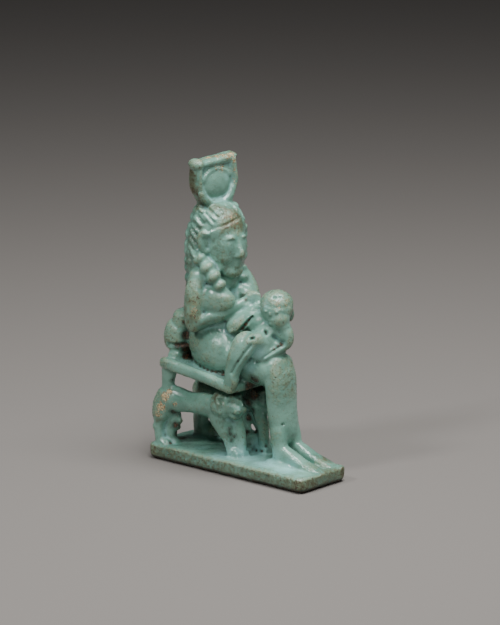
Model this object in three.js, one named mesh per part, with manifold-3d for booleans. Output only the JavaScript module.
// A glazed faience figure, fired in one piece: a goddess in a horned crown nurses a child on her lap,
// seated on a throne that two lions carry, on a thin plinth.
// Millimetres, +Z up. The goddess faces -Y and +X is her left.
// The origin is the middle of the plinth's underside.

import * as THREE from "three";
import { mergeVertices } from "three/addons/utils/BufferGeometryUtils.js";
import Module from "manifold-3d";

const wasm = await Module();
wasm.setup();

// Driving dimensions
const plinth = {
  length: 36.8, width: 12.5, rearThickness: 2.7, frontThickness: 2.1, cornerRound: 1, edgeRound: 0.45,
};
const carvingHeight = 53.6; // from the middle of the plinth's top to the horn tips

// The carving is laid out in shares of its own height, 53.6 of them, measured from the plinth's top.
// Along Y it keeps to the plinth's rear edge, where the lions' rumps stand.
const shares = 53.6;
const share = carvingHeight / shares;
const rearEdge = 18.8;
const deck = (plinth.rearThickness + plinth.frontThickness) / 2;
const place = (x, y, z) =>
  new THREE.Vector3(x * share, plinth.length / 2 - (rearEdge - y) * share, deck + z * share);

// A closed geometry as a solid for joining and cutting
function solidOf(geometry) {
  geometry.deleteAttribute("normal");
  geometry.deleteAttribute("uv");
  const merged = mergeVertices(geometry, 1e-4);
  return new wasm.Manifold(
    new wasm.Mesh({
      numProp: 3,
      vertProperties: new Float32Array(merged.attributes.position.array),
      triVerts: new Uint32Array(merged.index.array),
    }),
  );
}

const joined = (solids) => solids.reduce((whole, next) => whole.add(next));

// An ellipsoid at a point of the carving, turned about X, Y and Z in degrees
function ball([x, y, z], radii, { turn = [0, 0, 0], around = 7, rings = 5 } = {}) {
  const geometry = new THREE.SphereGeometry(1, around, rings);
  geometry.rotateX(Math.PI / 2);
  geometry.scale(radii[0] * share, radii[1] * share, radii[2] * share);
  const [tx, ty, tz] = turn.map((degrees) => THREE.MathUtils.degToRad(degrees));
  geometry.applyMatrix4(new THREE.Matrix4().makeRotationFromEuler(new THREE.Euler(tx, ty, tz)));
  const centre = place(x, y, z);
  geometry.translate(centre.x, centre.y, centre.z);
  return solidOf(geometry);
}

// A ball drawn out along a smooth path. A stop is [x, y, z, half width along side, half depth across it].
// blunt squares its ends and square its section: 2 is round, more is boxier.
function drawn(stops, { side = [1, 0, 0], blunt = 3, square = 2, around = 7, rings = 6 } = {}) {
  const path = new THREE.CatmullRomCurve3(stops.map(([x, y, z]) => place(x, y, z)), false, "centripetal");
  const sizes = new THREE.CatmullRomCurve3(
    stops.map(([, , , wide, deep = wide], i) => new THREE.Vector3(wide * share, deep * share, i)),
    false,
    "centripetal",
  );
  const geometry = new THREE.SphereGeometry(1, around, rings);
  const point = new THREE.Vector3();
  const swollen = (c) => Math.sign(c) * Math.pow(Math.abs(c), 2 / square);
  for (let i = 0; i < geometry.attributes.position.count; i++) {
    point.fromBufferAttribute(geometry.attributes.position, i);
    const travel = THREE.MathUtils.clamp((1 - point.y) / 2, 0, 1);
    const end = Math.abs(2 * travel - 1);
    const swell = Math.pow(Math.max(0, 1 - Math.pow(end, blunt)), 1 / blunt);
    const angle = Math.atan2(point.z, point.x);
    const ahead = path.getTangent(travel);
    const across = new THREE.Vector3().crossVectors(ahead, new THREE.Vector3(...side)).normalize();
    const along = new THREE.Vector3().crossVectors(across, ahead);
    const size = sizes.getPoint(travel);
    const spot = path
      .getPoint(travel)
      .addScaledVector(along, size.x * swell * swollen(Math.cos(angle)))
      .addScaledVector(across, size.y * swell * swollen(Math.sin(angle)));
    geometry.attributes.position.setXYZ(i, spot.x, spot.y, spot.z);
  }
  return solidOf(geometry);
}

// The plinth: a slab with rounded corners and softened edges, a little thinner at the toes
function plinthSlab() {
  const { length, width, rearThickness, frontThickness, cornerRound, edgeRound } = plinth;
  const halfX = width / 2 - edgeRound;
  const halfY = length / 2 - edgeRound;
  const corner = cornerRound;
  const outline = new THREE.Shape();
  outline.absarc(halfX - corner, halfY - corner, corner, 0, Math.PI / 2);
  outline.absarc(corner - halfX, halfY - corner, corner, Math.PI / 2, Math.PI);
  outline.absarc(corner - halfX, corner - halfY, corner, Math.PI, 1.5 * Math.PI);
  outline.absarc(halfX - corner, corner - halfY, corner, 1.5 * Math.PI, 2 * Math.PI);
  outline.closePath();
  const geometry = new THREE.ExtrudeGeometry(outline, {
    depth: rearThickness - 2 * edgeRound,
    bevelEnabled: true,
    bevelThickness: edgeRound,
    bevelSize: edgeRound,
    bevelSegments: 2,
    curveSegments: 2,
  });
  geometry.translate(0, 0, edgeRound);
  const spots = geometry.attributes.position;
  for (let i = 0; i < spots.count; i++) {
    const forward = 0.5 - spots.getY(i) / length;
    const thinned = 1 + (frontThickness / rearThickness - 1) * forward;
    spots.setZ(i, spots.getZ(i) * thinned);
  }
  return solidOf(geometry);
}

// One lion, standing, its outer side at outward (-1 or 1). rump and chest are [x, y] of its two ends.
// A filled lion has its leg gaps closed low down, where the glaze pooled.
function lion(rump, chest, outward, filled) {
  // a spot is [out from the lion's own line, share of the way from rump to chest, height]
  const at = (out, way, z, ...sizes) => [
    rump[0] + (chest[0] - rump[0]) * way + out * outward,
    rump[1] + (chest[1] - rump[1]) * way,
    z,
    ...sizes,
  ];
  const paw = (out, from, to) =>
    drawn([at(out, from, 0.9, 1.0, 0.9), at(out, to, 0.5, 1.05, 0.9)], { blunt: 2.6, around: 6, rings: 4 });
  const parts = [
    drawn([at(0, -0.16, 8.2, 1.7, 2.3), at(0, 0.04, 8.9, 2.0, 2.6), at(0, 0.42, 9.0, 1.45, 1.95),
      at(0, 0.8, 9.2, 1.8, 2.3), at(0, 1.1, 9.5, 1.7, 1.9)], { around: 8, rings: 7 }),
    drawn([at(0.8, 0.0, 10.2, 1.2, 2.1), at(0.8, -0.06, 6.4, 1.2, 1.8), at(0.75, -0.09, 3.6, 0.9, 1.0),
      at(0.75, -0.06, -1, 1.0, 1.2)]),
    drawn([at(-0.8, 0.04, 9.4, 1.1, 1.8), at(-0.8, 0.03, 5.6, 1.1, 1.9), at(-0.8, 0.0, 2.6, 1.1, 1.5),
      at(-0.8, 0.02, -1, 1.0, 1.4)], { rings: 4 }),
    paw(0.8, -0.14, 0.13),
    paw(-0.9, -0.06, 0.2),
    drawn([at(0.5, 0.84, 10, 1.2, 2.7), at(0.5, 0.93, 6.3, 1.0, 2.1), at(0.3, 1.02, 4.0, 0.85, 1.35),
      at(0.0, 1.1, -1, 0.9, 1)]),
    drawn([at(-1.0, 1.02, 9.4, 1.1, 1.8), at(-1.1, 1.13, 5.0, 1.0, 1.4), at(-1.2, 1.15, -1, 0.95, 1.2)],
      { rings: 4 }),
    paw(-0.1, 1.0, 1.24),
    paw(-1.3, 1.04, 1.28),
    ball(at(0, 0.99, 10.0), [2.8, 1.9, 2.9], { turn: [10, 0, 0], around: 9 }),
    ball(at(0, 1.14, 10.1), [2.1, 1.9, 2.3], { around: 8, rings: 6 }),
    ball(at(0, 1.29, 9.3), [1.45, 1.3, 1.3]),
  ];
  const web = (from, to, top) =>
    drawn([at(-0.1, from, top / 2 - 0.8, 1.7, top / 2 + 0.8),
      at(-0.1, to, top / 2 - 0.8, 1.6, top / 2 + 0.4)],
      { blunt: 5, square: 3, rings: 5 });
  if (!filled) return joined(parts);
  const pillar = drawn([at(0, 0.76, 7.4, 1.1, 1.5), at(0.1, 0.77, 0.0, 1.2, 1.5)], { blunt: 5, rings: 4 });
  return joined([...parts, web(-0.1, 0.28, 3.5), web(0.78, 1.2, 3.7), pillar]);
}

// The throne: a thin seat that dips to the front, a low back and two posts over the lions' rumps
const seat = { nearX: -6.3, farX: 6.4, rear: 15.9, front: -1.6, rearTop: 16.9, frontTop: 14.6 };
function throne() {
  const { nearX, farX, rear, front, rearTop, frontTop } = seat;
  const middleX = (nearX + farX) / 2;
  const rail = (x) =>
    drawn([[x, rear, rearTop - 1.0, 0.95, 1.1],
      [x, (rear + front) / 2, (rearTop + frontTop) / 2 - 0.85, 0.9, 1.05],
      [x, front, frontTop - 0.9, 1, 1]], { blunt: 5, square: 2.5, rings: 6 });
  const slab = drawn([[middleX, rear, rearTop - 1.6, 5.3, 0.7], [middleX, front, frontTop - 1.3, 5.2, 0.7]],
    { blunt: 14, square: 5, around: 8, rings: 4 });
  const bar = { y: front + 1, z: frontTop - 0.9 };
  const frontBar = drawn([[nearX, bar.y, bar.z, 1, 0.9], [farX, bar.y, bar.z + 0.1, 1, 0.9]],
    { side: [0, 1, 0], blunt: 8, rings: 5 });
  const post = (x) =>
    drawn([[x, 14.6, 7.6, 1.4, 2.2], [x, 15.2, 11.8, 1.1, 1.4], [x, 14.4, 16.4, 1.5, 2.4]], { rings: 4 });
  const back = joined([
    drawn([[middleX + 0.3, 14.6, 15.4, 4.7, 2.7], [middleX + 0.3, 14.8, 18.4, 4.6, 2.5]],
      { blunt: 6, square: 3, around: 8, rings: 4 }),
    drawn([[middleX + 0.3, 14.6, 17.4, 4.7, 3.0], [middleX + 0.3, 14.8, 20.8, 4.6, 3.1],
      [middleX + 0.3, 13.8, 25.1, 4.0, 2.3]], { blunt: 3.4, square: 2.6, around: 10, rings: 6 }),
  ]);
  return joined([slab, rail(nearX + 0.9), rail(farX - 0.9), frontBar, post(-4.4), post(4.6), back]);
}

// The goddess's hips, lap and legs under the long dress, and her feet
const middle = 0.8;
function lap() {
  const foot = (x, toeX, toeY) =>
    joined([
      drawn([[x - 0.1, -7.4, 8.0, 1.35, 1.7], [x, -8.2, 3.4, 1.3, 1.6], [x, -8.8, -1, 1.35, 2]], { rings: 4 }),
      drawn([[x, -7.0, 3.0, 1.2, 1.6], [x + 0.1, -10.8, 1.7, 1.2, 1.5], [(x + toeX) / 2, -13.8, 0.7, 1.25, 1.1],
        [toeX, toeY, 0, 1.15, 0.7]], { blunt: 4, rings: 6 }),
    ]);
  return joined([
    ball([middle, 7.4, 20.2], [5.6, 5.6, 5.8], { around: 12, rings: 7 }),
    drawn([[middle - 0.1, 11.8, 18.6, 4.6, 3.4], [middle - 0.1, 6.8, 18.9, 5.35, 4.5],
      [middle - 0.1, 1.0, 18.2, 5.1, 4.1]], { blunt: 3.4, square: 2.7, around: 12, rings: 5 }),
    drawn([[middle, 9.6, 18.9, 4.2, 3.6], [middle, 3.0, 18.4, 4.9, 4.3], [middle, -3.0, 17.2, 4.3, 3.7],
      [middle + 0.1, -8.9, 15.9, 3.5, 2.8]], { around: 12, rings: 7 }),
    drawn([[middle, -6.2, 18.6, 3.4, 2.5], [middle + 0.1, -6.9, 15.0, 3.3, 2.2],
      [middle + 0.3, -7.1, 10.0, 3.1, 2.0], [middle + 0.6, -7.5, 4.8, 2.9, 1.9]],
      { blunt: 8, square: 2.5, around: 10, rings: 7 }),
    foot(-0.5, 0.2, -17.6),
    foot(3.0, 3.9, -17.0),
  ]);
}

function torso() {
  const breast = (out) =>
    drawn([[middle + out * 3.6, 8.0, 30.2, 2.1, 2.6], [middle + out * 3.5, 5.4, 29.6, 2.5, 2.35],
      [middle + out * 3.0, 3.3, 29.3, 2.2, 2.0], [middle + out * 2.5, 2.0, 29.1, 1.3, 1.3]],
      { square: 2.8, around: 8, rings: 6 });
  return joined([
    drawn([[middle, 8.4, 17.0, 4.4, 3.8], [middle, 7.0, 23.4, 4.5, 4.3], [middle, 7.4, 28.0, 4.8, 3.5],
      [middle, 7.8, 33.8, 4.6, 2.3]], { around: 12, rings: 7 }),
    drawn([[middle, 6.8, 30.0, 2.2, 2.0], [middle, 6.4, 35.8, 2.2, 2.2]], { rings: 4 }),
    breast(-1),
    breast(1),
  ]);
}

function arms() {
  return joined([
    ball([-3.9, 7.9, 32.4], [2.0, 2.1, 1.9]),
    drawn([[-4.6, 8.0, 33.2, 1.6, 1.7], [-5.3, 7.9, 29.4, 1.6, 1.9], [-5.6, 8.0, 25.8, 1.5, 1.8],
      [-5.6, 8.0, 22.6, 1.4, 1.7]]),
    drawn([[-5.5, 8.2, 23.0, 1.0, 1.7], [-4.4, 5.5, 25.1, 1.0, 1.4], [-1.5, 2.5, 27.0, 1.0, 1.05],
      [2.1, 0.9, 28.5, 0.95, 0.95]], { side: [0, 1, 0], rings: 7 }),
    drawn([[4.5, 7.0, 33.6, 1.6, 1.8], [5.3, 5.5, 30.6, 1.6, 1.9], [5.5, 4.2, 28.2, 1.5, 1.8],
      [5.6, 3.4, 22.6, 1.3, 1.5]]),
    drawn([[5.8, 5.0, 23.4, 1.3, 1.3], [4.9, 0.4, 25.2, 1.5, 1.5], [3.6, -5.4, 27.0, 1.4, 1.4]]),
    drawn([[0.8, 1.2, 28.2, 1.1, 0.9], [1.9, 0.4, 28.8, 1.3, 1.1], [2.7, -0.9, 28.6, 0.9, 0.8]],
      { side: [0, 0, 1], rings: 4 }),
  ]);
}

const crown = {
  base: 43.2, height: 10.2, y: 9.1, depth: 3.4,
  footHalf: 3.1, bulgeHalf: 4.65, tipHalf: 4.4, lean: 0.55, tilt: 0.06,
};
const crownSink = 1.2; // how far the crown's foot stands in the wig

// The head, wig and crown turn a little towards her right
const headTurn = -7; // degrees, seen from above
function turned(solid) {
  const about = place(middle, 7.8, 0);
  return solid.translate([-about.x, -about.y, 0]).rotate([0, 0, headTurn]).translate([about.x, about.y, 0]);
}

function head() {
  const ear = (x, outward) =>
    joined([
      ball([x + 0.35 * outward, 6.1, 40.1], [0.85, 1.15, 1.05], { rings: 4 }),
      drawn([[x, 6.9, 40.2, 0.65, 0.9], [x, 6.9, 37.8, 0.65, 0.9]], { around: 6, rings: 3 }),
      ball([x + 0.3 * outward, 5.8, 37.7], [0.75, 1.0, 0.95], { rings: 4 }),
    ]);
  return joined([
    ball([middle, 6.0, 37.6], [3.9, 4.2, 5.2], { around: 10, rings: 8 }),
    ball([middle, 4.2, 33.6], [2.3, 2.0, 1.6]),
    drawn([[middle, 2.4, 39.3, 0.5, 0.6], [middle, 1.7, 36.2, 0.75, 0.9]], { rings: 4 }),
    ball([middle, 7.3, 40.6], [4.7, 4.7, 4.7], { around: 12, rings: 7 }),
    drawn([[middle, 8.2, crown.base + crownSink, 3.6, 3.0], [middle, 9.2, 38.6, 4.8, 4.2],
      [middle, 9.5, 33.0, 4.9, 3.9], [middle, 9.7, 26.0, 4.2, 2.7]], { blunt: 4, square: 2.3, around: 11, rings: 7 }),
    ear(middle - 4.3, -1),
    ear(middle + 3.7, 1),
  ]);
}

// A tress hangs from behind each ear to the breast
function tresses() {
  const tress = (out, inner) =>
    joined(
      [[4.9, 7.6, 35.7], [4.9, 5.9, 34.3], [4.4, 4.5, 32.9], [3.9, 3.5, 31.3]].map(([away, y, z]) =>
        ball([middle + out * (away - inner), y + inner, z], [1.35, 1.45, 1.1], { turn: [45, 0, 0] }),
      ),
    );
  return joined([tress(-1, 0), tress(1, 0.9)]);
}

// The crown: cow horns round a sun disc, filled in between as one thick plate. Widths are to one side.
// Its foot is lean to the left of its top, and its top edge climbs by tilt for each millimetre to her left.
function crownPlate() {
  const { base, height, y, depth, footHalf, bulgeHalf, tipHalf, lean, tilt } = crown;
  const half = new THREE.CatmullRomCurve3(
    [[footHalf - 0.1, 0], [footHalf, 0.16], [footHalf + 0.4, 0.28], [bulgeHalf - 0.4, 0.41], [bulgeHalf, 0.55],
      [bulgeHalf - 0.1, 0.73], [tipHalf, 0.9], [tipHalf, 1]].map(([x, up]) => new THREE.Vector3(x, up, 0)),
  ).getPoints(9);
  const leaned = (x, up) =>
    new THREE.Vector2((x + lean * (1 - up)) * share, up * (height + x * tilt) * share);
  const outline = new THREE.Shape([
    ...half.map((p) => leaned(p.x, p.y)),
    ...half.reverse().map((p) => leaned(-p.x, p.y)),
  ]);
  const bevel = 0.35 * share;
  const slab = new THREE.ExtrudeGeometry(outline, {
    depth: depth * share - 2 * bevel,
    bevelEnabled: true,
    bevelThickness: bevel,
    bevelSize: bevel,
    bevelOffset: -bevel,
    bevelSegments: 1,
  });
  slab.rotateX(Math.PI / 2);
  const at = place(middle, y + depth / 2, base);
  slab.translate(at.x, at.y - bevel, at.z);
  const front = y - depth / 2;
  const discZ = base + height * 0.53;
  const hollow = ball([middle + 0.1, front - 0.3, discZ + 0.4], [4.0, 1.3, 3.7], { around: 14, rings: 7 });
  const disc = ball([middle - 0.1, front + 0.95, discZ], [3.35, 1.0, 2.62], { around: 14, rings: 7 });
  const nearTip = ball([middle - tipHalf + 0.2, y + 0.1, base + height - 0.95], [0.95, depth / 2, 0.8]);
  const farTip = ball([middle + tipHalf - 0.3, y, base + height - 0.3], [0.9, depth / 2, 0.65]);
  return joined([solidOf(slab).subtract(hollow), disc, nearTip, farTip]);
}

// The child, seated across her lap with its feet on the near rail
function child() {
  const across = { side: [0, 1, 0] };
  return joined([
    ball([1.9, -5.4, 27.6], [2.6, 2.6, 2.8], { around: 10, rings: 6 }),
    ball([2.2, -5.1, 28.4], [2.7, 2.7, 2.3], { around: 10, rings: 6 }),
    ball([1.2, -2.4, 24.2], [2.4, 2.6, 2.6]),
    ball([1.2, -6.4, 21.4], [2.0, 2.2, 3]),
    drawn([[1.8, -5.0, 26.4, 1.7, 1.7], [0.8, -4.6, 23.6, 2.4, 2.0], [-0.6, -4.2, 21.6, 2.4, 2.2],
      [-2.0, -4.2, 18.4, 2.3, 2.2]], { ...across, around: 8 }),
    drawn([[1.4, -2.4, 27.2, 1.4], [-1.1, -0.4, 25.0, 1.35], [-3.9, 1.3, 22.8, 1.15]], { ...across, rings: 5 }),
    drawn([[0.8, -6.0, 25.4, 1.0], [1.6, -8.0, 23.6, 1.1], [1.2, -8.8, 21.4, 1.0], [-0.6, -8.8, 18.6, 0.95]],
      { rings: 7 }),
    drawn([[-0.4, -3.2, 20.0, 1.9], [-3.6, -2.2, 21.4, 1.6], [-4.9, -1.5, 19.4, 1.3], [-5.4, -0.5, 16.2, 1.0],
      [-5.6, -0.6, 13.4, 1.2]], { ...across, rings: 7 }),
    drawn([[-0.4, -5.4, 20.0, 1.9], [-3.2, -4.3, 21.6, 1.6], [-4.4, -3.5, 20.0, 1.3], [-5.2, -1.5, 16.8, 1.0],
      [-5.6, -1.5, 13.9, 1.2]], { ...across, rings: 7 }),
    ball([4.4, -6.0, 26.2], [0.8, 0.9, 1.5], { rings: 4 }),
  ]);
}

function figure() {
  const made = joined([
    plinthSlab(),
    lion([-4.1, 15.8], [-3.2, 2.9], -1, false),
    lion([4.3, 14.6], [4.0, 1.4], 1, true),
    throne(),
    lap(),
    torso(),
    arms(),
    turned(joined([head(), crownPlate()])),
    tresses(),
    child(),
  ]).getMesh();
  const geometry = new THREE.BufferGeometry();
  geometry.setAttribute("position", new THREE.BufferAttribute(new Float32Array(made.vertProperties), 3));
  geometry.setIndex(new THREE.BufferAttribute(new Uint32Array(made.triVerts), 1));
  geometry.computeVertexNormals();
  const glaze = new THREE.MeshStandardMaterial({ color: 0x7ca294, roughness: 0.32, metalness: 0 });
  const mesh = new THREE.Mesh(geometry, glaze);
  mesh.name = "isis_and_horus_figure";
  return mesh;
}

const model = new THREE.Group();
model.add(figure());

export default model;
